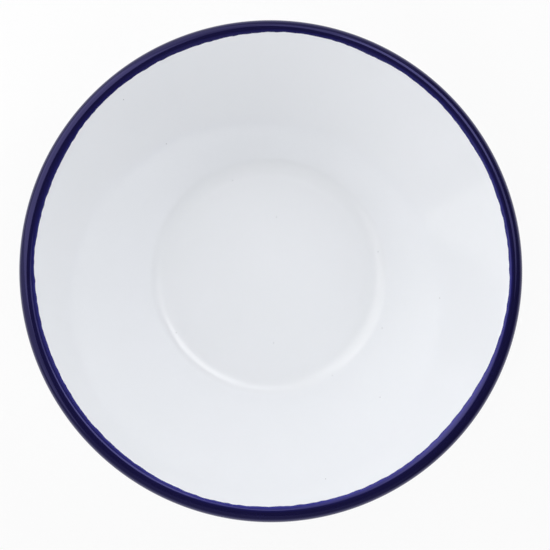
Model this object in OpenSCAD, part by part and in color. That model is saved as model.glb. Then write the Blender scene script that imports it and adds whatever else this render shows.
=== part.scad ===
// Enamel basin bowl: one pressed steel shell with a rolled bead, under fired coats of glass enamel.
// The shell's section is one line of tangent arcs, from the axis out to the bead's free edge.
// Every layer is a strip of that line between two offsets, turned about the Z axis.

/* [Bowl] */
// Diameter over the finished bead
rim_d = 240; // [180:1:320]
// Height from the table to the top of the bead
bowl_h = 58; // [40:1:110]
// Outer diameter of the flat ring that the bowl stands on
foot_d = 101; // [70:1:170]
// Inside radius of the corner between base and wall
corner_r = 14; // [5:0.5:20]
// Radius of the wall's slight outward bow
wall_bow_r = 1500; // [400:50:4000]

/* [Base] */
// Width of the flat ring that the bowl stands on
foot_ring_w = 6; // [3:0.5:15]
// Height that the middle of the base is raised above the ring
panel_rise = 0.3; // [0.2:0.1:3]
// Width of the turn from the raised middle back to the ring
panel_turn_w = 10; // [3:0.5:15]

/* [Bead] */
// Diameter of the rolled bead over its enamel
bead_d = 7.6; // [5.5:0.1:11]
// Radius of the enamel that fills the notch under the bead
notch_fill_r = 0.5; // [0.3:0.1:1]
// Width of the blue band on the outside wall, below the notch
blue_skirt_w = 1.5; // [0.5:0.1:6]

/* [Sheet and enamel] */
// Thickness of the steel sheet
sheet_t = 0.6; // [0.4:0.05:1]
// Thickness of the dark ground coat
ground_t = 0.15; // [0.1:0.01:0.3]
// Thickness of the white and blue cover coats
cover_t = 0.2; // [0.12:0.01:0.4]

/* [Hidden] */

// Flats of the turned form, and how far a chord may leave its arc
$fn = 144;
chord_error = 0.005;

// Offsets of the layers from the middle of the sheet, positive towards the food
half_t = sheet_t / 2;
ground_at = half_t + ground_t;
finish_at = ground_at + cover_t;

// The free edge of the bead stays as far from the wall as two ground coats need
edge_gap = 2 * ground_t;

// Where two circles meet, on the left of the way from the first centre to the second
function circles_meet(c1, r1, c2, r2) =
    let (gap = norm(c2 - c1))
    let (way = (c2 - c1) / gap)
    let (along = (r1 * r1 - r2 * r2 + gap * gap) / (2 * gap))
    let (aside = sqrt(r1 * r1 - along * along))
    c1 + along * way + aside * [-way[1], way[0]];

// Heading of an arc that turns left, and of one that turns right, at a point on it
function left_heading(centre, at) = atan2(at[0] - centre[0], centre[1] - at[1]);
function right_heading(centre, at) = atan2(centre[0] - at[0], at[1] - centre[1]);

// An arc is [centre, radius, first heading, last heading], with a negative radius where it turns right
function arc_until(arc, heading) = [arc[0], arc[1], arc[2], heading];
function arc_step(arc) = 2 * acos(1 - chord_error / abs(arc[1])) * sign(arc[1]);
function headings(arc) =
    let (chords = ceil((arc[3] - arc[2]) / arc_step(arc) - 0.001))
    [for (i = [0:chords]) i < chords ? arc[2] + i * arc_step(arc) : arc[3]];
function arc_line(arc, at) =
    [for (h = headings(arc)) arc[0] + (arc[1] - at) * [sin(h), -cos(h)]];
function path_line(path, at) = [for (arc = path) each arc_line(arc, at)];
function back(points) = [for (i = [len(points) - 1:-1:0]) points[i]];

// Raised middle of the base: a shallow crown and the turn back to the flat ring
base_z = finish_at;
panel_r = foot_d / 2 - foot_ring_w;
panel_slope = 2 * atan(panel_rise / panel_r);
crown_r = (panel_r - panel_turn_w) / sin(panel_slope);
turn_r = panel_turn_w / sin(panel_slope);
crown = [[0, base_z + panel_rise - crown_r], -crown_r, 0, -panel_slope];
turn = [[panel_r, base_z + turn_r], turn_r, -panel_slope, 0];

// Corner, bead and the bowed wall that is tangent to both
corner_mid_r = corner_r + finish_at;
corner_c = [foot_d / 2, base_z + corner_mid_r];
bead_r = bead_d / 2;
curl_r = bead_r - finish_at;
curl_c = [rim_d / 2 - bead_r, bowl_h - bead_r];
bow_c = circles_meet(corner_c, wall_bow_r - corner_mid_r, curl_c, wall_bow_r + curl_r);
low_slope = left_heading(bow_c, corner_c);
high_slope = left_heading(bow_c, curl_c);
corner = [corner_c, corner_mid_r, 0, low_slope];
wall = [bow_c, wall_bow_r, low_slope, high_slope];

// The roll runs round to its free edge, which is tucked against the outside of the wall
edge_at = circles_meet(curl_c, curl_r + half_t, bow_c, wall_bow_r + half_t + edge_gap);
curl = [curl_c, -curl_r, high_slope, right_heading(curl_c, edge_at) - 360];

// Fillet of blue enamel in the notch between the bead and the wall
notch_c = circles_meet(
    curl_c, bead_r + notch_fill_r,
    bow_c, wall_bow_r + finish_at + notch_fill_r
);
notch_on_bead = right_heading(curl_c, notch_c) - 360;
notch_on_wall = left_heading(bow_c, notch_c);
notch = [notch_c, notch_fill_r, notch_on_bead + 360, notch_on_wall + 180];
skirt_turn = blue_skirt_w / wall_bow_r * 180 / PI;
skirt_end = notch_on_wall - skirt_turn;

// Where the blue enamel behind the notch meets the ground coat of the wall
bond_at = circles_meet(curl_c, curl_r + ground_at, bow_c, wall_bow_r + ground_at);

// Section lines of the sheet, of the inside below the bead, and of the outside up to a heading
sheet_path = [crown, turn, corner, wall, curl];
inside_path = [crown, turn, corner, wall];
function outside_path(heading) = [crown, turn, corner, arc_until(wall, heading)];

// One layer: the strip of a path between two offsets, turned about the axis
module layer(path, from, to) {
    rotate_extrude()
        polygon(concat(path_line(path, from), back(path_line(path, to))));
}

module steel_shell() {
    color("slategray") layer(sheet_path, -half_t, half_t);
}

module ground_coat_inside() {
    color("darkslategray") layer(sheet_path, half_t, ground_at);
}

module ground_coat_outside() {
    color("darkslategray")
        layer(outside_path(left_heading(bow_c, edge_at)), -ground_at, -half_t);
}

module white_enamel_inside() {
    color("ghostwhite") layer(inside_path, ground_at, finish_at);
}

module white_enamel_outside() {
    color("ghostwhite") layer(outside_path(skirt_end), -finish_at, -ground_at);
}

// The blue coat wraps the bead, seals the notch and ends in a skirt on the outside wall
module blue_rim_enamel() {
    skirt = [bow_c, wall_bow_r, skirt_end, notch_on_wall];
    bond = [bow_c, wall_bow_r, skirt_end, left_heading(bow_c, bond_at)];
    bead_bond = arc_until(curl, right_heading(curl_c, bond_at) - 360);
    color("midnightblue")
        rotate_extrude()
            polygon(concat(
                arc_line(arc_until(curl, notch_on_bead), finish_at),
                arc_line(notch, 0),
                back(arc_line(skirt, -finish_at)),
                arc_line(bond, -ground_at),
                back(arc_line(bead_bond, ground_at))
            ));
}

steel_shell();
ground_coat_inside();
ground_coat_outside();
white_enamel_inside();
white_enamel_outside();
blue_rim_enamel();
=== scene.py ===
"""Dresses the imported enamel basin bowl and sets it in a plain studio.

The bowl's skin is one line in section: from the axis inside, up the wall, over the rolled bead and
back to the axis underneath. Each coat of enamel is turned from a stretch of that line.
"""

import logging
import math
from dataclasses import dataclass, field
from enum import Enum
from typing import Any, ClassVar

import bpy
from mathutils import Matrix, Quaternion, Vector


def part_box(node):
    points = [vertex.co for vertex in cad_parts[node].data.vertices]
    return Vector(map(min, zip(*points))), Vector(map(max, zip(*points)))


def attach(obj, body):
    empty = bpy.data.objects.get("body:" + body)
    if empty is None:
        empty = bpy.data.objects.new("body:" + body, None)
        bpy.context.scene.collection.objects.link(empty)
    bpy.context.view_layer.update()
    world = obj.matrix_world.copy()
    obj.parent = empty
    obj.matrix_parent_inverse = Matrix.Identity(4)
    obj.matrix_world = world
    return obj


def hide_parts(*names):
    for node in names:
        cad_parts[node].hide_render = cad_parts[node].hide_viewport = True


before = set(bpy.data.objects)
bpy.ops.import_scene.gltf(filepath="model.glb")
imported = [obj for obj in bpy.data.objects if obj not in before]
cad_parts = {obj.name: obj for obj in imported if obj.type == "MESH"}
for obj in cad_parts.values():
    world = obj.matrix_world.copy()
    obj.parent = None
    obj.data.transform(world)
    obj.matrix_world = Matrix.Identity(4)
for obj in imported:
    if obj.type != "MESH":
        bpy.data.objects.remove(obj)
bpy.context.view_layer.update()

Socket = bpy.types.NodeSocket
Sockets = bpy.types.bpy_prop_collection

LOG = logging.getLogger("enamel_bowl")
BODY = "root"
MATH = "ShaderNodeMath"
MM = 0.001

# Points of a section that lie closer together than this count as one
SAME_POINT = 0.01 * MM

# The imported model's round forms have flats, so sizes read from it are rounded to a tenth of a millimetre
SIZE_DIGITS = 4

# A Mix node's sockets for colours, by number, because its sockets for other values share their names
MIX_SHARE = 0
MIX_FROM = 6
MIX_TO = 7
MIX_RESULT = 2


class Coat(Enum):
    """The coats of enamel that show, by the names of the solids that they stand for."""

    WHITE_INSIDE = "white_enamel_inside"
    WHITE_OUTSIDE = "white_enamel_outside"
    BLUE_RIM = "blue_rim_enamel"


class Core(Enum):
    """What lies under the coats that show, by the names of its solids."""

    STEEL = "steel_shell"
    GROUND_INSIDE = "ground_coat_inside"
    GROUND_OUTSIDE = "ground_coat_outside"


class Trait(Enum):
    """What each point of a coat's section carries into the turned mesh."""

    ALONG = "along_skin"
    LIFT = "lift"
    INNER_LIP = "inner_lip"
    OUTER_LIP = "outer_lip"
    THIN = "thin_edge"


class LampShape(Enum):
    """Outlines that a studio light's face may have."""

    RECTANGLE = "RECTANGLE"
    ELLIPSE = "ELLIPSE"


def linear(colour: str) -> tuple[float, float, float, float]:
    """Turn an sRGB hex colour into the linear values that Blender's sockets take.

    Args:
        colour: six hex digits after a hash sign

    Returns:
        Linear red, green, blue and an alpha of 1.
    """
    channels = [int(colour[i:i + 2], 16) / 255 for i in (1, 3, 5)]
    red, green, blue = [c / 12.92 if c <= 0.04045 else ((c + 0.055) / 1.055) ** 2.4 for c in channels]
    return red, green, blue, 1.0


def add_node(
    tree: bpy.types.NodeTree, kind: str, inputs: dict[int | str, Any] | None = None, **settings: Any
) -> bpy.types.Node:
    """Add one node to a tree, with its settings and its inputs.

    Args:
        tree: node tree that gets the node
        kind: Blender's name for the type of node
        inputs: value, or output socket to link, for each input by its name or number
        settings: properties of the node

    Returns:
        The new node.
    """
    node = tree.nodes.new(kind)
    for name, value in settings.items():
        setattr(node, name, value)
    for key, value in (inputs or {}).items():
        if isinstance(value, Socket):
            tree.links.new(value, node.inputs[key])
        else:
            node.inputs[key].default_value = value
    return node


def smooth_fall(distance: float, reach: float) -> float:
    """Fall from 1 at no distance to 0 at reach, with a level start and end.

    Args:
        distance: how far away, in the units of reach
        reach: where the fall ends

    Returns:
        Share that is left, from 1 to 0.
    """
    share = min(max(distance / reach, 0.0), 1.0)
    return 1 - share * share * (3 - 2 * share)


def spread(start: float, end: float, steps: int) -> list[float]:
    """Give evenly spaced values from start to end, both included.

    Args:
        start: first value
        end: last value
        steps: number of gaps between the values

    Returns:
        The values, one more than there are steps.
    """
    return [start + (end - start) * i / steps for i in range(steps + 1)]


def circles_meet(c1: Vector, r1: float, c2: Vector, r2: float) -> Vector:
    """Find where two circles meet, on the left of the way from the first centre to the second.

    Args:
        c1: centre of the first circle
        r1: radius of the first circle
        c2: centre of the second circle
        r2: radius of the second circle

    Returns:
        The meeting point.
    """
    way = c2 - c1
    gap = way.length
    way = way / gap
    along = (r1 * r1 - r2 * r2 + gap * gap) / (2 * gap)
    aside = math.sqrt(r1 * r1 - along * along)
    return c1 + along * way + aside * Vector((-way.y, way.x))


@dataclass(frozen=True)
class Arc:
    """A circular stretch of the skin line, given by its headings in the section plane.

    Attributes:
        centre: distance from the axis and height of its centre
        radius: its radius, negative where the line turns right
        first: heading where it starts, in radians
        last: heading where it ends, in radians
    """

    centre: Vector
    radius: float
    first: float
    last: float

    def points(self, chord_error: float) -> list[Vector]:
        """Give points along the arc, close enough for a chord to stay near it.

        Args:
            chord_error: how far a chord may leave the arc

        Returns:
            Points in the section plane, both ends included.
        """
        step = 2 * math.acos(1 - chord_error / abs(self.radius))
        chords = max(math.ceil(abs(self.last - self.first) / step), 1)
        return [self.at(heading) for heading in spread(self.first, self.last, chords)]

    def at(self, heading: float) -> Vector:
        """Give the point of the arc that has this heading."""
        return self.centre + self.radius * Vector((math.sin(heading), -math.cos(heading)))


@dataclass
class BowlSkin:
    """The finished surface of the bowl as one line of tangent arcs, in metres, with the solids' sizes.

    Attributes:
        rim_radius: radius over the bead
        height: height of the bead's top above the table
        bead_radius: radius of the bead in section
        foot_radius: outer radius of the flat ring that the bowl stands on
        corner_radius: radius of the corner between base and wall, inside
        wall_bow_radius: radius of the wall's slight outward bow
        foot_ring_width: width of the standing ring
        panel_rise: height of the raised middle of the base
        panel_turn_width: width of the turn from the raised middle to the ring
        notch_radius: radius of the enamel in the notch under the bead
        skirt_width: width of the blue on the outside wall, below the notch
        half_wall: half of the thickness of sheet and coats together
        chord_error: how far a chord may leave its arc
        points: points of the line
        stations: distance along the line at which each arc starts
    """

    rim_radius: float
    height: float
    bead_radius: float = 3.8 * MM
    foot_radius: float = 50.5 * MM
    corner_radius: float = 14 * MM
    wall_bow_radius: float = 1500 * MM
    foot_ring_width: float = 6 * MM
    panel_rise: float = 0.3 * MM
    panel_turn_width: float = 10 * MM
    notch_radius: float = 0.5 * MM
    skirt_width: float = 1.5 * MM
    half_wall: float = 0.65 * MM
    chord_error: float = 0.0002 * MM
    points: list[Vector] = field(default_factory=list)
    stations: dict[str, float] = field(default_factory=dict)

    def __post_init__(self) -> None:
        """Lay out the arcs and note how far along the line each one starts."""
        travelled = 0.0
        for name, arc in self.arcs().items():
            for number, point in enumerate(arc.points(self.chord_error)):
                if self.points:
                    travelled += (point - self.points[-1]).length
                if number == 0:
                    self.stations[name] = travelled
                self.points.append(point)
        self.stations["end"] = travelled

    def arcs(self) -> dict[str, Arc]:
        """Work out the tangent arcs of the skin, in order from the axis inside to the axis underneath.

        Returns:
            The arcs by name. The flat standing ring is the straight gap before each corner.
        """
        wall = self.half_wall
        panel = self.foot_radius - self.foot_ring_width
        slope = 2 * math.atan(self.panel_rise / panel)
        crown = (panel - self.panel_turn_width) / math.sin(slope)
        turn = self.panel_turn_width / math.sin(slope)
        crown_at = Vector((0, wall + self.panel_rise - crown))
        turn_at = Vector((panel, wall + turn))
        corner = self.corner_radius + wall
        corner_at = Vector((self.foot_radius, wall + corner))
        curl = self.bead_radius - wall
        bead_at = Vector((self.rim_radius - self.bead_radius, self.height - self.bead_radius))
        bow = self.wall_bow_radius
        bow_at = circles_meet(corner_at, bow - corner, bead_at, bow + curl)
        low = math.atan2(corner_at.x - bow_at.x, bow_at.y - corner_at.y)
        high = math.atan2(bead_at.x - bow_at.x, bow_at.y - bead_at.y)
        notch_at = circles_meet(
            bead_at, self.bead_radius + self.notch_radius,
            bow_at, bow + wall + self.notch_radius,
        )
        on_bead = math.atan2(bead_at.x - notch_at.x, notch_at.y - bead_at.y) - math.tau
        on_wall = math.atan2(notch_at.x - bow_at.x, bow_at.y - notch_at.y)
        return {
            "crown": Arc(crown_at, -crown - wall, 0, -slope),
            "turn": Arc(turn_at, turn - wall, -slope, 0),
            "corner": Arc(corner_at, self.corner_radius, 0, low),
            "wall": Arc(bow_at, bow - wall, low, high),
            "bead": Arc(bead_at, -self.bead_radius, high, on_bead),
            "notch": Arc(notch_at, self.notch_radius, on_bead + math.tau, on_wall + math.pi),
            "under_wall": Arc(bow_at, -bow - wall, on_wall + math.pi, low + math.pi),
            "under_corner": Arc(corner_at, -corner - wall, low + math.pi, math.pi),
            "under_turn": Arc(turn_at, -turn - wall, math.pi, math.pi - slope),
            "under_crown": Arc(crown_at, crown - wall, math.pi - slope, math.pi),
        }

    def as_curve(self) -> bpy.types.Object:
        """Make the skin line a curve object in the XZ plane, for the turning tree to follow.

        Returns:
            The curve object, linked to the scene.
        """
        curve = bpy.data.curves.new("skin_line", "CURVE")
        curve.dimensions = "3D"
        spline = curve.splines.new("POLY")
        spline.points.add(len(self.points) - 1)
        for place, point in zip(spline.points, self.points):
            place.co = (point.x, 0, point.y, 1)
        holder = bpy.data.objects.new("skin_line", curve)
        bpy.context.scene.collection.objects.link(holder)
        return holder


@dataclass(frozen=True)
class SectionPoint:
    """One point of a coat's section.

    Attributes:
        along: distance along the skin line, in metres
        lift: height above the skin, negative inside it
        inner_lip: share of the inside lip's waviness that moves it
        outer_lip: share of the outside lip's waviness that moves it
        thin: how thin the coat is drawn out here, from 0 to 1
    """

    along: float
    lift: float
    inner_lip: float = 0.0
    outer_lip: float = 0.0
    thin: float = 0.0

    def value(self, trait: Trait) -> float:
        """Give the point's value of one trait."""
        return {
            Trait.ALONG: self.along,
            Trait.LIFT: self.lift,
            Trait.INNER_LIP: self.inner_lip,
            Trait.OUTER_LIP: self.outer_lip,
            Trait.THIN: self.thin,
        }[trait]


@dataclass(frozen=True)
class Daub:
    """One place where the edging brush ran past the edge, or short of it.

    Attributes:
        bearing: middle of the daub, in degrees from +X towards +Y
        spread: half of its width, in degrees
        reach: how far it runs past the edge, in metres, negative where it stops short
    """

    bearing: float
    spread: float
    reach: float

    def at(self, bearing: float) -> float:
        """Give how far the daub moves the edge at a bearing in degrees."""
        away = (bearing - self.bearing + 180) % 360 - 180
        return self.reach * math.exp(-(away / self.spread) ** 2)


@dataclass(frozen=True)
class HandLaidEdge:
    """How an edge that was laid on by hand wanders from a true circle, in metres.

    Attributes:
        lean: how far the whole inside edge is off centre
        lean_bearing: where it reaches furthest in, in degrees from +X towards +Y
        daubs: where the brush ran past the inside edge or short of it
        wave: height of the slow waves of the outside edge, from trough to crest
        wave_length: length of those waves
        ragged: height of the fine raggedness of both edges, from trough to crest
        ragged_length: length of the fine raggedness
        drawn: how thin the edge is drawn out on average, from 0 to 1
        drawn_swing: how much that share changes around the rim. This is painted light: the lip is painted
            lighter blue on the side that faces the far lamps and darker on the side away from them
        drawn_bearing: where that painted light is strongest, in degrees from +X towards +Y
        seed: place in the noise that gives the waves
    """

    lean: float = 0.0
    lean_bearing: float = 0.0
    daubs: tuple[Daub, ...] = ()
    wave: float = 0.0
    wave_length: float = 60 * MM
    ragged: float = 0.0
    ragged_length: float = 3 * MM
    drawn: float = 1.0
    drawn_swing: float = 0.0
    drawn_bearing: float = 0.0
    seed: float = 0.0

    def reach(self, bearing: float) -> float:
        """Give how far the inside edge reaches past its mean circle at a bearing in degrees."""
        lean = self.lean * math.cos(math.radians(bearing - self.lean_bearing))
        return lean + sum(daub.at(bearing) for daub in self.daubs)

    def thinness(self, bearing: float) -> float:
        """Give the share of the lip's thin colour at a bearing in degrees, from 0 to 1: how thin the edge is
        drawn out, with painted light that makes the side facing the far lamps lighter.
        """
        return self.drawn + self.drawn_swing * math.cos(math.radians(bearing - self.drawn_bearing))


@dataclass(frozen=True)
class BlueLip:
    """How the blue coat ends in a lip on the white, in section and in metres.

    Attributes:
        lap: how far the inside lip lies below the bead, on the inside wall
        proud: height of the lip's swell above the skin
        rise: length over which the lip swells up
        crest: distance from the lip at which the swell starts to settle
        settle: length over which the swell settles to the skin
        dip: depth under the white at which the lip starts
        taper: length over which the coat's back falls to its full depth
        edge_depth: least depth of the coat's back
        hold: lengths of the inside and the outside lip that follow the waviness in full
        fade: length over which the inside lip's waviness fades
        thin: lengths over which the coat thickens from the inside and from the outside lip
        close_points: distances from a lip of the section's close points
        even_from: distance from the inside lip at which the evenly spaced points start
        point_gap: least gap between the evenly spaced points and the outside lip's close points
    """

    lap: float = 1.15 * MM
    proud: float = 0.05 * MM
    rise: float = 0.45 * MM
    crest: float = 0.6 * MM
    settle: float = 2.6 * MM
    dip: float = 0.08 * MM
    taper: float = 2 * MM
    edge_depth: float = 0.09 * MM
    hold: tuple[float, float] = (0.6 * MM, 0.3 * MM)
    fade: float = 3.2 * MM
    thin: tuple[float, float] = (3.4 * MM, 1.2 * MM)
    close_points: tuple[float, ...] = (
        0.0, 0.08 * MM, 0.18 * MM, 0.3 * MM, 0.5 * MM, 0.8 * MM, 1.2 * MM
    )
    even_from: float = 1.7 * MM
    point_gap: float = 0.05 * MM

    def height(self, distance: float) -> float:
        """Give the height of the coat's face above the skin.

        Args:
            distance: distance from the lip along the skin

        Returns:
            Height, negative where the lip dips under the white.
        """
        risen = 1 - smooth_fall(distance, self.rise)
        swell = smooth_fall(distance - self.crest, self.settle)
        return (self.proud + self.dip) * risen * swell - self.dip * (1 - risen)

    def depth(self, distance: float, cover: float) -> float:
        """Give the depth of the coat's back at a distance from the lip, where cover is the full depth."""
        return max(cover * (1 - smooth_fall(distance, self.taper)), self.edge_depth)


class CoatLathe:
    """The Geometry Nodes tree that turns a coat's section about the bowl's axis."""

    SOCKETS: ClassVar[dict[str, str]] = {
        "Section": "NodeSocketGeometry",
        "Skin Line": "NodeSocketObject",
        "Steps Around": "NodeSocketInt",
        "Closed Section": "NodeSocketInt",
        "Lip Line": "NodeSocketObject",
        "Lip Radius": "NodeSocketFloat",
        "Wave Height": "NodeSocketFloat",
        "Wave Length": "NodeSocketFloat",
        "Ragged Height": "NodeSocketFloat",
        "Ragged Length": "NodeSocketFloat",
        "Ripple Height": "NodeSocketFloat",
        "Ripple Length": "NodeSocketFloat",
        "Seed": "NodeSocketFloat",
        "Material": "NodeSocketMaterial",
    }
    REACH: ClassVar[str] = "lip_reach"
    # Share of the lip's thin colour around the rim: the brush's thinning, with painted light that makes the
    # lip facing the far lamps lighter
    THINNESS: ClassVar[str] = "lip_thinness"
    WELD: ClassVar[float] = 0.001 * MM
    SHARP: ClassVar[float] = math.radians(50)
    NOISE_DETAIL: ClassVar[float] = 1.0

    def __init__(self, skin: BowlSkin) -> None:
        """Build the tree and the line that it follows.

        Args:
            skin: skin of the bowl
        """
        self.skin = skin
        self.line = skin.as_curve()
        self.tree = bpy.data.node_groups.new("Turned coat", "GeometryNodeTree")
        self.keys: dict[str, str] = {}
        for name, kind in self.SOCKETS.items():
            socket = self.tree.interface.new_socket(name, in_out="INPUT", socket_type=kind)
            self.keys[name] = socket.identifier
        self.tree.interface.new_socket("Coat", in_out="OUTPUT", socket_type="NodeSocketGeometry")
        self.build_tree()

    def build_tree(self) -> None:
        """Lay out the tree: a grid of section by turn, bent to the skin, welded and dressed."""
        tree = self.tree
        given = add_node(tree, "NodeGroupInput").outputs
        grid, index, row, bearing = self.flat_grid(given)
        trait = {name: self.sampled(name.value, given["Section"], index) for name in Trait}
        lip = add_node(tree, "GeometryNodeObjectInfo", {"Object": given["Lip Line"]}).outputs["Geometry"]
        reach = self.sampled(self.REACH, lip, row)
        # How thin the lip is drawn out around the rim, with painted light in it: lighter on the side that
        # faces the far lamps
        thinness = self.sampled(self.THINNESS, lip, row)
        thin = add_node(tree, MATH, {0: trait[Trait.THIN], 1: thinness}, operation="MULTIPLY").outputs[0]
        shift = self.lip_shift(given, trait, bearing, reach)
        place = self.place_on_skin(given, trait, bearing, shift)
        self.dress(given, grid, place, thin)

    def flat_grid(self, given: Sockets) -> tuple[Socket, Socket, Socket, Socket]:
        """Make a flat grid with one section point to each step along X and one turn to each along Y.

        Args:
            given: the tree's input sockets

        Returns:
            Output sockets with the grid and, at each of its points, the number of the section point,
            the number of the step around and the bearing in radians.
        """
        tree = self.tree
        steps = given["Steps Around"]
        count = add_node(tree, "GeometryNodeAttributeDomainSize", {"Geometry": given["Section"]}).outputs[0]
        columns = add_node(tree, MATH, {0: count, 1: given["Closed Section"]}, operation="ADD").outputs[0]
        rows = add_node(tree, MATH, {0: steps, 1: 1.0}, operation="ADD").outputs[0]
        width = add_node(tree, MATH, {0: columns, 1: 1.0}, operation="SUBTRACT").outputs[0]
        grid = add_node(
            tree, "GeometryNodeMeshGrid",
            {"Size X": width, "Size Y": steps, "Vertices X": columns, "Vertices Y": rows},
        ).outputs["Mesh"]
        here = add_node(tree, "GeometryNodeInputPosition").outputs[0]
        flat = add_node(tree, "ShaderNodeSeparateXYZ", {0: here}).outputs
        numbers = []
        for axis, length, wrap in (("X", width, count), ("Y", steps, steps)):
            # The grid is centred, so half of its length is added to count from its edge. The number after
            # the last is the first again, which closes the turn and a closed section.
            along = add_node(
                tree, MATH, {0: length, 1: 0.5, 2: flat[axis]}, operation="MULTIPLY_ADD"
            ).outputs[0]
            whole = add_node(tree, MATH, {0: along}, operation="ROUND").outputs[0]
            numbers.append(add_node(tree, MATH, {0: whole, 1: wrap}, operation="FLOORED_MODULO").outputs[0])
        index, row = numbers
        step_turn = add_node(tree, MATH, {0: math.tau, 1: steps}, operation="DIVIDE").outputs[0]
        bearing = add_node(tree, MATH, {0: row, 1: step_turn}, operation="MULTIPLY").outputs[0]
        return grid, index, row, bearing

    def sampled(self, name: str, points: Socket, index: Socket) -> Socket:
        """Read a named value of the point that has the given number.

        Args:
            name: name of the value
            points: socket of the points that carry it
            index: socket of the point's number

        Returns:
            Output socket with the value.
        """
        named = add_node(
            self.tree, "GeometryNodeInputNamedAttribute", {"Name": name}, data_type="FLOAT"
        ).outputs[0]
        return add_node(
            self.tree, "GeometryNodeSampleIndex",
            {"Geometry": points, "Value": named, "Index": index},
            data_type="FLOAT", domain="POINT",
        ).outputs[0]

    def waves(self, given: Sockets, kind: str, place: Socket) -> Socket:
        """Add waves of the length and height that the tree's inputs give for their kind.

        Args:
            given: the tree's input sockets
            kind: first word of the names of the two inputs
            place: socket of the place in metres

        Returns:
            Output socket with a value between minus and plus half of the height.
        """
        tree = self.tree
        scale = add_node(tree, MATH, {0: 1.0, 1: given[kind + " Length"]}, operation="DIVIDE").outputs[0]
        noise = add_node(
            tree, "ShaderNodeTexNoise",
            {"Vector": place, "W": given["Seed"], "Scale": scale, "Detail": self.NOISE_DETAIL},
            noise_dimensions="4D",
        ).outputs[0]
        centred = add_node(tree, MATH, {0: noise, 1: 0.5}, operation="SUBTRACT").outputs[0]
        return add_node(
            tree, MATH, {0: centred, 1: given[kind + " Height"]}, operation="MULTIPLY"
        ).outputs[0]

    def lip_shift(
        self, given: Sockets, trait: dict[Trait, Socket], bearing: Socket, reach: Socket
    ) -> Socket:
        """Work out how far along the skin the coat's lips wander.

        Args:
            given: the tree's input sockets
            trait: sockets of the section's traits
            bearing: socket of the bearing
            reach: socket of how far the inside lip reaches past its mean circle

        Returns:
            Output socket with the shift in metres, outward along the skin.
        """
        tree = self.tree
        rim = add_node(tree, "ShaderNodeCombineXYZ", {"X": given["Lip Radius"]}).outputs[0]
        place = add_node(
            tree, "ShaderNodeVectorRotate", {"Vector": rim, "Angle": bearing}, rotation_type="Z_AXIS"
        ).outputs[0]
        wave, ragged = [self.waves(given, kind, place) for kind in ("Wave", "Ragged")]
        inner = add_node(tree, MATH, {0: ragged, 1: reach}, operation="SUBTRACT").outputs[0]
        outer = add_node(tree, MATH, {0: wave, 1: ragged}, operation="ADD").outputs[0]
        moved = add_node(tree, MATH, {0: trait[Trait.OUTER_LIP], 1: outer}, operation="MULTIPLY").outputs[0]
        return add_node(
            tree, MATH, {0: trait[Trait.INNER_LIP], 1: inner, 2: moved}, operation="MULTIPLY_ADD"
        ).outputs[0]

    def place_on_skin(
        self, given: Sockets, trait: dict[Trait, Socket], bearing: Socket, shift: Socket
    ) -> Socket:
        """Place each point along the skin line, lift it off the line and turn it about the axis.

        Args:
            given: the tree's input sockets
            trait: sockets of the section's traits
            bearing: socket of the bearing
            shift: socket of the shift along the skin

        Returns:
            Output socket with the place.
        """
        tree = self.tree
        line = add_node(tree, "GeometryNodeObjectInfo", {"Object": given["Skin Line"]}).outputs["Geometry"]
        along = add_node(tree, MATH, {0: trait[Trait.ALONG], 1: shift}, operation="ADD").outputs[0]
        skin = add_node(
            tree, "GeometryNodeSampleCurve", {"Curves": line, "Length": along}, mode="LENGTH"
        ).outputs
        on_skin = add_node(
            tree, "ShaderNodeVectorRotate", {"Vector": skin["Position"], "Angle": bearing},
            rotation_type="Z_AXIS",
        ).outputs[0]
        ripple = self.waves(given, "Ripple", on_skin)
        lift = add_node(tree, MATH, {0: trait[Trait.LIFT], 1: ripple}, operation="ADD").outputs[0]
        outward = add_node(
            tree, "ShaderNodeVectorMath", {0: skin["Tangent"], 1: (0, 1, 0)}, operation="CROSS_PRODUCT"
        ).outputs[0]
        lifted = add_node(
            tree, "ShaderNodeVectorMath", {0: outward, 1: lift, 2: skin["Position"]},
            operation="MULTIPLY_ADD",
        ).outputs[0]
        return add_node(
            tree, "ShaderNodeVectorRotate", {"Vector": lifted, "Angle": bearing}, rotation_type="Z_AXIS"
        ).outputs[0]

    def dress(self, given: Sockets, grid: Socket, place: Socket, thin: Socket) -> None:
        """End the tree: mark the thin edge, with its painted light, bend the grid, weld its seams and give it
        its material.

        Args:
            given: the tree's input sockets
            grid: socket of the flat grid
            place: socket of each point's place
            thin: socket of how thin the coat is drawn out, with the lip's painted light in it
        """
        mesh = add_node(
            self.tree, "GeometryNodeStoreNamedAttribute",
            {"Geometry": grid, "Name": Trait.THIN.value, "Value": thin},
            data_type="FLOAT", domain="POINT",
        ).outputs[0]
        chain: list[tuple[str, dict[str, Any]]] = [
            ("GeometryNodeSetPosition", {"Position": place}),
            ("GeometryNodeMergeByDistance", {"Distance": self.WELD}),
            ("GeometryNodeSetShadeSmooth", {}),
            ("GeometryNodeRealizeInstances", {}),
            ("GeometryNodeSetMaterial", {"Material": given["Material"]}),
        ]
        for kind, inputs in chain:
            mesh = add_node(self.tree, kind, {"Geometry": mesh} | inputs).outputs[0]
        add_node(self.tree, "NodeGroupOutput", {0: mesh})

    def lip_line(self, name: str, edge: HandLaidEdge, steps: int) -> bpy.types.Object:
        """Make a point for each step around, which carries the inside lip's reach and its share of thin
        colour there, painted light included.

        Args:
            name: name of the points
            edge: how the lip wanders
            steps: number of steps around

        Returns:
            The points as an object, linked to the scene.
        """
        bearings = spread(0, 360, steps)[:-1]
        mesh = bpy.data.meshes.new(name)
        mesh.vertices.add(steps)
        for label, value in {self.REACH: edge.reach, self.THINNESS: edge.thinness}.items():
            column = mesh.attributes.new(label, "FLOAT", "POINT")
            column.data.foreach_set("value", [value(bearing) for bearing in bearings])
        line = bpy.data.objects.new(name, mesh)
        bpy.context.scene.collection.objects.link(line)
        return line

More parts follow.
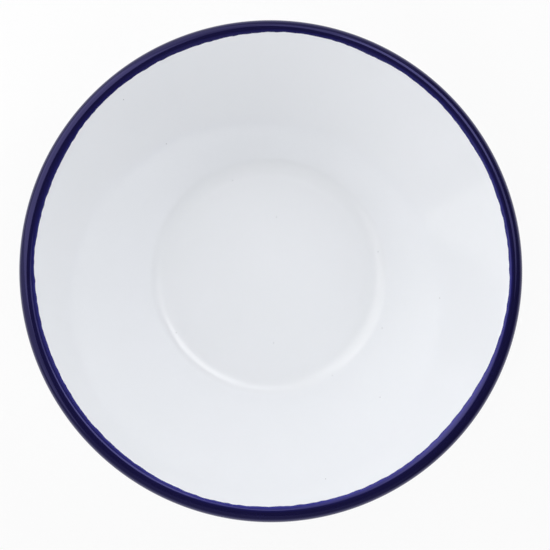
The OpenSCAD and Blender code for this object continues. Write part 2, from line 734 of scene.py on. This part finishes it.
    def turn(
        self,
        name: str,
        section: list[SectionPoint],
        closed: bool,
        steps: int,
        edge: HandLaidEdge,
        ripple: tuple[float, float],
        material: bpy.types.Material,
    ) -> bpy.types.Object:
        """Turn one coat and make it a plain mesh.

        Args:
            name: name of the piece
            section: points of its section, with the air on the left
            closed: whether the section's last point joins its first
            steps: number of steps around
            edge: how its lips wander
            ripple: height and length of the slow ripple in its surface, in metres
            material: finish of the coat

        Returns:
            The coat, at the origin and linked to the scene.
        """
        points = bpy.data.meshes.new(name)
        points.vertices.add(len(section))
        for trait in Trait:
            column = points.attributes.new(trait.value, "FLOAT", "POINT")
            column.data.foreach_set("value", [point.value(trait) for point in section])
        coat = bpy.data.objects.new(name, points)
        bpy.context.scene.collection.objects.link(coat)
        lip = self.lip_line(name + "_lip", edge, steps)
        lathe = coat.modifiers.new("Turned coat", "NODES")
        lathe.node_group = self.tree
        values = {
            "Skin Line": self.line,
            "Lip Line": lip,
            "Steps Around": steps,
            "Closed Section": int(closed),
            "Lip Radius": self.skin.rim_radius,
            "Wave Height": edge.wave,
            "Wave Length": edge.wave_length,
            "Ragged Height": edge.ragged,
            "Ragged Length": edge.ragged_length,
            "Ripple Height": ripple[0],
            "Ripple Length": ripple[1],
            "Seed": edge.seed,
            "Material": material,
        }
        for label, value in values.items():
            lathe[self.keys[label]] = value
        evaluated = coat.evaluated_get(bpy.context.evaluated_depsgraph_get())
        mesh = bpy.data.meshes.new_from_object(evaluated)
        coat.modifiers.remove(lathe)
        coat.data = mesh
        mesh.name = name
        mesh.set_sharp_from_angle(angle=self.SHARP)
        bpy.data.meshes.remove(points)
        bpy.data.meshes.remove(lip.data)
        return coat

    def put_away(self) -> None:
        """Remove the skin line once every coat is turned."""
        bpy.data.objects.remove(self.line)


@dataclass(frozen=True)
class EnamelFinish:
    """Porcelain enamel: glass frit fired on steel, smooth and glossy, with a faint orange peel.

    Attributes:
        name: name of the material
        body: colour of the coat
        cloud: colour that the coat drifts to in slow clouds
        thin: colour where the coat is drawn out thin over what lies under it
        speck: colour of the tiny specks fired into it
        speck_share: share of the speck cells that hold one
        roughness: least and greatest roughness
        cloud_mm: size of the slow clouds of colour
        cloud_detail: number of finer patterns in the clouds
        peel_mm: size of the orange peel
        peel_detail: number of finer patterns in the orange peel
        peel_depth_mm: depth of the orange peel
        speck_gap_mm: size of a cell that may hold a speck
        speck_mm: diameter of a speck
        speck_core: share of a speck's radius that has its full colour
        ior: index of refraction of the glass
        sheen: strength of what the coat mirrors straight on, 0.5 for clear glass
        sheen_tint: colour of that, which colour just under the surface lends it
    """

    name: str
    body: str
    cloud: str
    thin: str
    speck: str
    speck_share: float
    roughness: tuple[float, float]
    cloud_mm: float = 45.0
    cloud_detail: float = 3.0
    peel_mm: float = 3.0
    peel_detail: float = 2.0
    peel_depth_mm: float = 0.004
    speck_gap_mm: float = 26.0
    speck_mm: float = 0.55
    speck_core: float = 0.5
    ior: float = 1.53
    sheen: float = 0.5
    sheen_tint: str = "#FFFFFF"

    def material(self) -> bpy.types.Material:
        """Build the finish as a material.

        Returns:
            The material.
        """
        material = bpy.data.materials.new(self.name)
        material.use_nodes = True
        tree = material.node_tree
        shader = tree.nodes["Principled BSDF"]
        shader.inputs["IOR"].default_value = self.ior
        shader.inputs["Specular IOR Level"].default_value = self.sheen
        shader.inputs["Specular Tint"].default_value = linear(self.sheen_tint)
        place = add_node(tree, "ShaderNodeTexCoord").outputs["Object"]
        clouds = add_node(
            tree, "ShaderNodeTexNoise",
            {"Vector": place, "Scale": 1 / (self.cloud_mm * MM), "Detail": self.cloud_detail},
        ).outputs[0]
        tree.links.new(self.colour(tree, place, clouds), shader.inputs["Base Color"])
        gloss = add_node(
            tree, "ShaderNodeMapRange",
            {"Value": clouds, "To Min": self.roughness[0], "To Max": self.roughness[1]},
        ).outputs[0]
        tree.links.new(gloss, shader.inputs["Roughness"])
        peel = add_node(
            tree, "ShaderNodeTexNoise",
            {"Vector": place, "Scale": 1 / (self.peel_mm * MM), "Detail": self.peel_detail},
        ).outputs[0]
        bump = add_node(
            tree, "ShaderNodeBump", {"Strength": 1.0, "Distance": self.peel_depth_mm * MM, "Height": peel}
        ).outputs[0]
        tree.links.new(bump, shader.inputs["Normal"])
        return material

    def colour(self, tree: bpy.types.NodeTree, place: Socket, clouds: Socket) -> Socket:
        """Let the colour drift in clouds, change it at the thin edges, where painted light is mixed in too,
        and put the specks in.

        Args:
            tree: node tree of the material
            place: socket of the place on the bowl
            clouds: socket of the slow clouds

        Returns:
            Output socket with the colour.
        """
        # The thin edge share is the brush's thinning, and on the blue lip also painted light: lighter on the
        # side facing the far lamps
        thinned = add_node(tree, "ShaderNodeAttribute", attribute_name=Trait.THIN.value).outputs["Fac"]
        layers = [(clouds, self.cloud), (thinned, self.thin), (self.specks(tree, place), self.speck)]
        colour: Any = linear(self.body)
        for share, over in layers:
            colour = add_node(
                tree, "ShaderNodeMix",
                {MIX_SHARE: share, MIX_FROM: colour, MIX_TO: linear(over)},
                data_type="RGBA",
            ).outputs[MIX_RESULT]
        return colour

    def specks(self, tree: bpy.types.NodeTree, place: Socket) -> Socket:
        """Scatter the specks in plan, one at most in a cell.

        Args:
            tree: node tree of the material
            place: socket of the place on the bowl

        Returns:
            Output socket that is 1 on a speck.
        """
        cells = add_node(
            tree, "ShaderNodeTexVoronoi",
            {"Vector": place, "Scale": 1 / (self.speck_gap_mm * MM), "Randomness": 1.0},
            voronoi_dimensions="2D",
        ).outputs
        reach = self.speck_mm / 2 / self.speck_gap_mm
        dot = add_node(
            tree, "ShaderNodeMapRange",
            {
                "Value": cells["Distance"],
                "From Min": reach * self.speck_core,
                "From Max": reach,
                "To Min": 1.0,
                "To Max": 0.0,
            },
        ).outputs[0]
        draw = add_node(tree, "ShaderNodeSeparateColor", {0: cells["Color"]}).outputs[0]
        chosen = add_node(tree, MATH, {0: draw, 1: self.speck_share}, operation="LESS_THAN").outputs[0]
        return add_node(tree, MATH, {0: dot, 1: chosen}, operation="MULTIPLY").outputs[0]


@dataclass(frozen=True)
class SheetSteelFinish:
    """Cold-rolled steel sheet, pressed and pickled: dull grey, with fine rolling lines.

    Attributes:
        name: name of the material
        light: colour of the bright lines
        dark: colour of the dark lines
        line_mm: width of the rolling lines
        line_stretch: how many times longer than wide they are
        line_detail: number of finer patterns in them
        roughness: roughness of the metal
    """

    # Pickled sheet steel: a dull mid grey with a soft metal glint, under all the glass.
    # Its rolling lines are really about a tenth of this width, too fine to draw.
    name: str = "pickled sheet steel"
    light: str = "#8E9092"
    dark: str = "#6F7275"
    line_mm: float = 1.2
    line_stretch: float = 20.0
    line_detail: float = 4.0
    roughness: float = 0.45

    def material(self) -> bpy.types.Material:
        """Build the finish as a material.

        Returns:
            The material.
        """
        material = bpy.data.materials.new(self.name)
        material.use_nodes = True
        tree = material.node_tree
        shader = tree.nodes["Principled BSDF"]
        shader.inputs["Metallic"].default_value = 1.0
        shader.inputs["Roughness"].default_value = self.roughness
        place = add_node(tree, "ShaderNodeTexCoord").outputs["Object"]
        drawn = add_node(
            tree, "ShaderNodeMapping", {"Vector": place, "Scale": (1.0, 1 / self.line_stretch, 1.0)}
        ).outputs[0]
        lines = add_node(
            tree, "ShaderNodeTexNoise",
            {"Vector": drawn, "Scale": 1 / (self.line_mm * MM), "Detail": self.line_detail},
        ).outputs[0]
        shade = add_node(
            tree, "ShaderNodeMix",
            {MIX_SHARE: lines, MIX_FROM: linear(self.dark), MIX_TO: linear(self.light)},
            data_type="RGBA",
        ).outputs[MIX_RESULT]
        tree.links.new(shade, shader.inputs["Base Color"])
        return material


@dataclass(frozen=True)
class SweepPaperFinish:
    """Paper of a studio floor: seen as almost plain white near the bowl, with a soft shadow, through a
    painted pool of white light that fades further out.

    Attributes:
        name: name of the material
        colour: colour of the paper
        roughness: roughness of its face
        glow: share of painted plain white in what is seen of it near the bowl
        far_glow: share of painted plain white far away, where the painted pool has faded and the paper meets
            the room's colour
        glow_reach: distances from the bowl's axis between which the one turns to the other, in metres
    """

    # Sweep paper: a matte near white, with no gloss and only a soft shadow under the bowl. Round the bowl
    # lies a painted pool of white light that fades further out.
    name: str = "matte white sweep paper"
    colour: str = "#F3F4F5"
    roughness: float = 0.9
    glow: float = 0.9
    far_glow: float = 0.3
    glow_reach: tuple[float, float] = (0.35, 1.6)

    def material(self) -> bpy.types.Material:
        """Build the finish as a material.

        Returns:
            The material.
        """
        material = bpy.data.materials.new(self.name)
        material.use_nodes = True
        tree = material.node_tree
        paper = tree.nodes["Principled BSDF"]
        paper.inputs["Base Color"].default_value = linear(self.colour)
        paper.inputs["Roughness"].default_value = self.roughness
        white = add_node(tree, "ShaderNodeEmission", {"Color": (1, 1, 1, 1), "Strength": 1.0})
        ray = add_node(tree, "ShaderNodeLightPath").outputs
        seen = ray["Is Camera Ray"]
        for kind in ("Is Glossy Ray", "Is Transmission Ray"):
            seen = add_node(tree, MATH, {0: seen, 1: ray[kind]}, operation="MAXIMUM").outputs[0]
        place = add_node(tree, "ShaderNodeTexCoord").outputs["Object"]
        away = add_node(tree, "ShaderNodeVectorMath", {0: place}, operation="LENGTH").outputs["Value"]
        near, far = self.glow_reach
        # Painted pool of light: the paper is painted white round the bowl, less so further out
        pool = add_node(
            tree, "ShaderNodeMapRange",
            {"Value": away, "From Min": near, "From Max": far, "To Min": self.glow, "To Max": self.far_glow},
            interpolation_type="SMOOTHSTEP",
        ).outputs[0]
        share = add_node(tree, MATH, {0: seen, 1: pool}, operation="MULTIPLY").outputs[0]
        mixed = add_node(tree, "ShaderNodeMixShader", {0: share, 1: paper.outputs[0], 2: white.outputs[0]})
        tree.links.new(mixed.outputs[0], tree.nodes["Material Output"].inputs["Surface"])
        return material


@dataclass
class EnamelBowl:
    """The bowl: three coats that show, turned over the pressed shell and its ground coats.

    Attributes:
        skin: skin of the bowl
        cover: thickness of the white and blue coats
        inside_steps: steps around of the white coats
        rim_steps: steps around of the blue coat, which its ragged edge needs
        overlap: how far the white coats run on under the blue
        under_depth: how deep they lie there below the skin
        ripple: height, from trough to crest, and length of the white coats' slow ripple
        lip: how the blue coat ends in section
        white: finish of the white coats
        blue: finish of the blue coat
        ground: finish of the ground coats
        rim_edge: how the blue coat's edges wander
    """

    STEPS: ClassVar[dict[str, int]] = {
        "crown": 14, "turn": 14, "corner": 16, "wall": 44, "inside overlap": 8,
        "bead": 36, "notch": 8,
        "outside overlap": 6, "under_wall": 44, "under_corner": 20, "under_turn": 10, "under_crown": 14,
    }

    skin: BowlSkin
    cover: float = 0.2 * MM
    inside_steps: int = 384
    rim_steps: int = 900
    overlap: float = 3 * MM
    under_depth: float = 0.13 * MM
    ripple: tuple[float, float] = (0.04 * MM, 28 * MM)
    lip: BlueLip = BlueLip()
    # Clouded white glass: a bright, slightly cool white, wet gloss, soft waves in what it mirrors
    # and a few dark specks. Real specks and orange peel are half this size, finer than a pixel.
    white: EnamelFinish = EnamelFinish(
        name="white porcelain enamel, fired",
        body="#EDEFF4",
        cloud="#EAEDF1",
        thin="#EAECF0",
        speck="#AEB1B6",
        speck_share=0.3,
        roughness=(0.03, 0.06),
        ior=1.55,
        sheen=0.65,
    )
    # Cobalt glass over a dark ground: a violet blue that is nearly black where it lies thick, with
    # sharp streaks of light along the bead, and bluer where the brush drew it out thin at its lips.
    # How much bluer the lip is also swings around the rim as painted light, lighter where it faces the far
    # lamps.
    blue: EnamelFinish = EnamelFinish(
        name="cobalt blue edging enamel, fired",
        body="#120F34",
        cloud="#15123B",
        thin="#2A2A85",
        speck="#2A2860",
        speck_share=0.2,
        roughness=(0.06, 0.10),
        cloud_mm=12.0,
        peel_mm=2.5,
        ior=1.57,
        sheen=0.81,
        sheen_tint="#B0ACFF",
    )
    # Bonding glass, dark with cobalt: near black and half matte. Only a chip in the cover shows it.
    ground: EnamelFinish = EnamelFinish(
        name="cobalt ground-coat enamel, fired",
        body="#17181D",
        cloud="#20222A",
        thin="#20222A",
        speck="#0E0F12",
        speck_share=0.6,
        roughness=(0.25, 0.35),
        speck_gap_mm=6.0,
    )
    rim_edge: HandLaidEdge = HandLaidEdge(
        lean=0.8 * MM,
        lean_bearing=241.0,
        daubs=(
            Daub(321.0, 14.0, 0.95 * MM),
            Daub(253.0, 16.0, -0.8 * MM),
            Daub(351.0, 12.0, -0.65 * MM),
            Daub(202.0, 18.0, 0.45 * MM),
            Daub(177.0, 5.0, -0.6 * MM),
            Daub(158.0, 13.0, 0.55 * MM),
            Daub(137.0, 8.0, -0.35 * MM),
            Daub(110.0, 9.0, 0.4 * MM),
            Daub(84.0, 14.0, -0.55 * MM),
            Daub(65.0, 5.0, 0.45 * MM),
            Daub(35.0, 8.0, 0.45 * MM),
        ),
        wave=1.0 * MM,
        wave_length=55 * MM,
        ragged=1.2 * MM,
        ragged_length=4.5 * MM,
        # The swing and bearing below are painted light: they make the inside lip's blue lighter on the side
        # that faces the far lamps and darker across from it
        drawn=0.6,
        drawn_swing=0.4,
        drawn_bearing=282.0,
        seed=4.0,
    )

    def build(self) -> None:
        """Make the coats, tie them to the body and dress what lies under them."""
        lathe = CoatLathe(self.skin)
        white = self.white.material()
        plain = HandLaidEdge(seed=2.0)
        smooth = (0.0, self.ripple[1])
        coats = {
            Coat.WHITE_INSIDE: lathe.turn(
                "inside_white_coat", self.inside_section(), False,
                self.inside_steps, plain, self.ripple, white,
            ),
            Coat.WHITE_OUTSIDE: lathe.turn(
                "outside_white_coat", self.outside_section(), False,
                self.inside_steps, plain, self.ripple, white,
            ),
            Coat.BLUE_RIM: lathe.turn(
                "blue_rim_coat", self.rim_section(), True,
                self.rim_steps, self.rim_edge, smooth, self.blue.material(),
            ),
        }
        lathe.put_away()
        for coat, piece in coats.items():
            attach(piece, BODY)
            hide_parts(coat.value)
            LOG.info("%s: %d faces", piece.name, len(piece.data.polygons))
        self.dress_core()

    def dress_core(self) -> None:
        """Give the shell and its ground coats, which the cover coats hide, their finishes."""
        ground = self.ground.material()
        finishes = {
            Core.STEEL: SheetSteelFinish().material(),
            Core.GROUND_INSIDE: ground,
            Core.GROUND_OUTSIDE: ground,
        }
        for core, material in finishes.items():
            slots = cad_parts[core.value].data.materials
            slots.clear()
            slots.append(material)
            LOG.info("%s: %s", core.value, material.name)

    def inside_section(self) -> list[SectionPoint]:
        """Lay out the section of the inside coat, which runs on a little way under the blue.

        Returns:
            Its points, along the food side and back along the ground coat.
        """
        edge = self.skin.stations["bead"]
        stretches = self.between("crown", "turn", "corner", "wall", "bead")
        stretches.append((edge, edge + self.overlap, self.STEPS["inside overlap"]))
        face = self.stations_of(stretches)
        front = [SectionPoint(along, -self.sunk(along - edge)) for along in face]
        back = [SectionPoint(along, -self.cover) for along in reversed(face)]
        return front + back

    def outside_section(self) -> list[SectionPoint]:
        """Lay out the section of the outside coat, from under the blue skirt to the base.

        Returns:
            Its points, along the outer side and back along the ground coat. The outer side lies lower
            by half of the ripple, so that no crest reaches below the table.
        """
        at = self.skin.stations
        edge = at["under_wall"] + self.skin.skirt_width
        stretches = [
            (edge - self.overlap / 2, edge, self.STEPS["outside overlap"]),
            (edge, at["under_corner"], self.STEPS["under_wall"]),
        ]
        stretches += self.between("under_corner", "under_turn", "under_crown", "end")
        face = self.stations_of(stretches)
        front = [SectionPoint(along, -self.sunk(edge - along) - self.ripple[0] / 2) for along in face]
        back = [SectionPoint(along, -self.cover) for along in reversed(face)]
        return front + back

    def rim_section(self) -> list[SectionPoint]:
        """Lay out the section of the blue coat: round the bead, into the notch and onto both walls.

        Returns:
            Its points, along the outer side and back along the ground coat.
        """
        at = self.skin.stations
        lip = self.lip
        inner = at["bead"] - lip.lap
        outer = at["under_wall"] + self.skin.skirt_width
        near = [inner + step for step in lip.close_points]
        far = [outer - step for step in reversed(lip.close_points)]
        middle = self.stations_of([
            (inner + lip.even_from, at["notch"], self.STEPS["bead"]),
            (at["notch"], at["under_wall"], self.STEPS["notch"]),
        ])
        face = [along for along in near + middle if along < far[0] - lip.point_gap] + far
        floor = [along for along in reversed(face[::2]) if inner < along < outer]
        front = [
            self.rim_point(along, lip.height(min(along - inner, outer - along)), inner, outer)
            for along in face
        ]
        back = [
            self.rim_point(along, -lip.depth(min(along - inner, outer - along), self.cover), inner, outer)
            for along in floor
        ]
        return front + back

    def rim_point(self, along: float, lift: float, inner: float, outer: float) -> SectionPoint:
        """Make one point of the blue coat's section, with its share of each lip's waviness.

        Args:
            along: distance along the skin
            lift: height above the skin
            inner: where the inside lip lies
            outer: where the outside lip lies

        Returns:
            The point.
        """
        lip = self.lip
        inside = smooth_fall(along - inner - lip.hold[0], lip.fade)
        outside = smooth_fall(outer - along - lip.hold[1], self.skin.skirt_width)
        thin = max(smooth_fall(along - inner, lip.thin[0]), smooth_fall(outer - along, lip.thin[1]))
        return SectionPoint(along, lift, inside, outside, thin)

    def sunk(self, past: float) -> float:
        """Give how far below the skin a white coat lies, a distance past the edge of the blue."""
        return self.under_depth * (1 - smooth_fall(past, self.overlap))

    def between(self, *names: str) -> list[tuple[float, float, int]]:
        """Give start, end and number of steps of each stretch from one named station to the next."""
        at = self.skin.stations
        return [(at[name], at[after], self.STEPS[name]) for name, after in zip(names, names[1:])]

    @staticmethod
    def stations_of(stretches: list[tuple[float, float, int]]) -> list[float]:
        """Join evenly spaced stretches into one list without repeats.

        Args:
            stretches: start, end and number of steps of each stretch

        Returns:
            Distances along the skin, in order.
        """
        joined: list[float] = []
        for start, end, steps in stretches:
            for along in spread(start, end, steps):
                if not joined or along - joined[-1] > SAME_POINT:
                    joined.append(along)
        return joined


@dataclass(frozen=True)
class SoftBox:
    """A flat studio light that faces the bowl.

    Attributes:
        name: name of the light
        bearing: direction it stands in, in degrees from +X towards +Y
        elevation: its height above the horizon, in degrees
        distance: distance from the bowl, in metres
        width: width in metres
        height: height in metres
        power: power in watts
        mirrored: whether glossy surfaces show it
        shape: outline of its face
        colour: colour of its light
        roll: how far it is turned about the line to the bowl, in degrees
    """

    name: str
    bearing: float
    elevation: float
    distance: float
    width: float
    height: float
    power: float
    mirrored: bool = True
    shape: LampShape = LampShape.RECTANGLE
    colour: str = "#FFFFFF"
    roll: float = 0.0

    def build(self, target: Vector) -> None:
        """Make the light and aim it.

        Args:
            target: point that it faces
        """
        lamp = bpy.data.lights.new(self.name, "AREA")
        lamp.shape = self.shape.value
        lamp.size = self.width
        lamp.size_y = self.height
        lamp.energy = self.power
        lamp.color = linear(self.colour)[:3]
        turn = math.radians(self.bearing)
        rise = math.radians(self.elevation)
        way = Vector((math.cos(turn) * math.cos(rise), math.sin(turn) * math.cos(rise), math.sin(rise)))
        light = bpy.data.objects.new(self.name, lamp)
        light.location = target + self.distance * way
        roll = Quaternion((0, 0, 1), math.radians(self.roll))
        light.rotation_euler = (way.to_track_quat("Z", "Y") @ roll).to_euler()
        light.visible_camera = False
        light.visible_glossy = self.mirrored
        bpy.context.scene.collection.objects.link(light)
        LOG.info("%s: %.2f W", self.name, self.power)


@dataclass
class Studio:
    """Plain pale floor, soft lights and the camera of the photograph.

    Attributes:
        skin: skin of the bowl, which the camera is framed on
        frame_px: side of the square photograph
        rim_px: radius of the rim in it
        rim_centre_px: centre of the rim in it, from its upper left corner
        distance: distance from the camera to the rim, in metres
        tilt: how far the camera stands off the bowl's axis, in degrees
        tilt_bearing: side that it stands to, in degrees from +X towards +Y
        sensor: width of the camera's sensor, in millimetres
        floor_size: side of the floor, in metres
        paper: finish of the floor
        horizon: colour of the room's low walls
        zenith: colour of the room above
        climb: heights, as sines of the elevation, between which the one turns to the other
        lights: the studio lights
    """

    skin: BowlSkin
    frame_px: float = 550.0
    rim_px: float = 251.6
    rim_centre_px: tuple[float, float] = (271.66, 269.23)
    distance: float = 0.96
    tilt: float = 4.2
    tilt_bearing: float = -112.0
    sensor: float = 36.0
    floor_size: float = 8.0
    paper: SweepPaperFinish = SweepPaperFinish()
    horizon: str = "#A6A7A9"
    zenith: str = "#454648"
    climb: tuple[float, float] = (0.1, 0.33)
    lights: tuple[SoftBox, ...] = (
        SoftBox("window softbox", 150.0, 41.0, 0.343, 0.80, 0.36, 0.52, colour="#FFFDFA"),
        SoftBox("window core", 147.0, 41.0, 0.34, 0.28, 0.36, 0.21, colour="#FFFDFA"),
        SoftBox("side light", 50.0, 53.0, 0.345, 0.34, 0.14, 0.145, roll=-15.0),
        SoftBox("side core", 51.0, 52.0, 0.335, 0.17, 0.15, 0.06, shape=LampShape.ELLIPSE, roll=-15.0),
        SoftBox("side fill", 48.0, 50.0, 0.345, 0.30, 0.19, 0.14, mirrored=False),
        SoftBox("near card", 254.0, 32.0, 2.0, 4.0, 2.4, 5.5),
        SoftBox("far card", 105.0, 24.0, 2.0, 4.0, 1.6, 5.7),
        SoftBox("near fill", 265.0, 56.0, 0.42, 0.25, 0.20, 0.59, mirrored=False),
        SoftBox("right fill", 42.0, 36.0, 2.0, 1.2, 0.7, 7.9, mirrored=False),
        SoftBox("low left fill", 192.0, 20.0, 2.0, 1.2, 0.7, 4.5, mirrored=False),
    )

    def build(self) -> None:
        """Make the floor, the lights, the world and the camera."""
        self.build_floor()
        self.build_world()
        middle = Vector((0, 0, self.skin.height / 2))
        for light in self.lights:
            light.build(middle)
        self.build_camera()
        bpy.context.scene.view_settings.view_transform = "Standard"

    def build_floor(self) -> None:
        """Make the pale floor, which shows near white and keeps a soft shadow."""
        half = self.floor_size / 2
        mesh = bpy.data.meshes.new("studio_floor")
        corners = [(-half, -half, 0), (half, -half, 0), (half, half, 0), (-half, half, 0)]
        mesh.from_pydata(corners, [], [(0, 1, 2, 3)])
        mesh.materials.append(self.paper.material())
        floor = bpy.data.objects.new("studio_floor", mesh)
        bpy.context.scene.collection.objects.link(floor)

    def build_world(self) -> None:
        """Make the room: pale low walls that darken towards the ceiling above the camera."""
        world = bpy.data.worlds.new("studio room")
        bpy.context.scene.world = world
        world.use_nodes = True
        tree = world.node_tree
        way = add_node(tree, "ShaderNodeTexCoord").outputs["Generated"]
        up = add_node(tree, "ShaderNodeSeparateXYZ", {0: way}).outputs["Z"]
        climbed = add_node(
            tree, "ShaderNodeMapRange",
            {"Value": up, "From Min": self.climb[0], "From Max": self.climb[1]},
            interpolation_type="SMOOTHSTEP",
        ).outputs[0]
        colour = add_node(
            tree, "ShaderNodeMix",
            {MIX_SHARE: climbed, MIX_FROM: linear(self.horizon), MIX_TO: linear(self.zenith)},
            data_type="RGBA",
        ).outputs[MIX_RESULT]
        tree.links.new(colour, tree.nodes["Background"].inputs["Color"])

    def build_camera(self) -> None:
        """Stand the camera almost straight above the bowl and frame it as the photograph does."""
        per_px = self.skin.rim_radius / self.rim_px
        half = self.frame_px / 2
        rim = Vector((0, 0, self.skin.height - self.skin.bead_radius))
        aim = rim + per_px * Vector((half - self.rim_centre_px[0], self.rim_centre_px[1] - half, 0))
        tilt = math.radians(self.tilt)
        bearing = math.radians(self.tilt_bearing)
        way = Vector((math.sin(tilt) * math.cos(bearing), math.sin(tilt) * math.sin(bearing), math.cos(tilt)))
        eye = rim + self.distance * way
        back = (eye - aim).normalized()
        right = Vector((0, 1, 0)).cross(back).normalized()
        lens = bpy.data.cameras.new("camera")
        lens.sensor_width = self.sensor
        lens.lens = self.sensor * self.distance / (self.frame_px * per_px)
        camera = bpy.data.objects.new("camera", lens)
        turn = Matrix((right, back.cross(right), back)).transposed()
        camera.matrix_world = Matrix.Translation(eye) @ turn.to_4x4()
        bpy.context.scene.collection.objects.link(camera)
        bpy.context.scene.camera = camera


def main() -> None:
    """Read the rim's size from the model, then build the bowl and the studio."""
    logging.basicConfig(level=logging.INFO, format="%(name)s: %(message)s")
    rim_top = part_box(Coat.BLUE_RIM.value)[1]
    skin = BowlSkin(rim_radius=round(rim_top.x, SIZE_DIGITS), height=round(rim_top.z, SIZE_DIGITS))
    EnamelBowl(skin).build()
    Studio(skin).build()


if __name__ == "__main__":
    main()
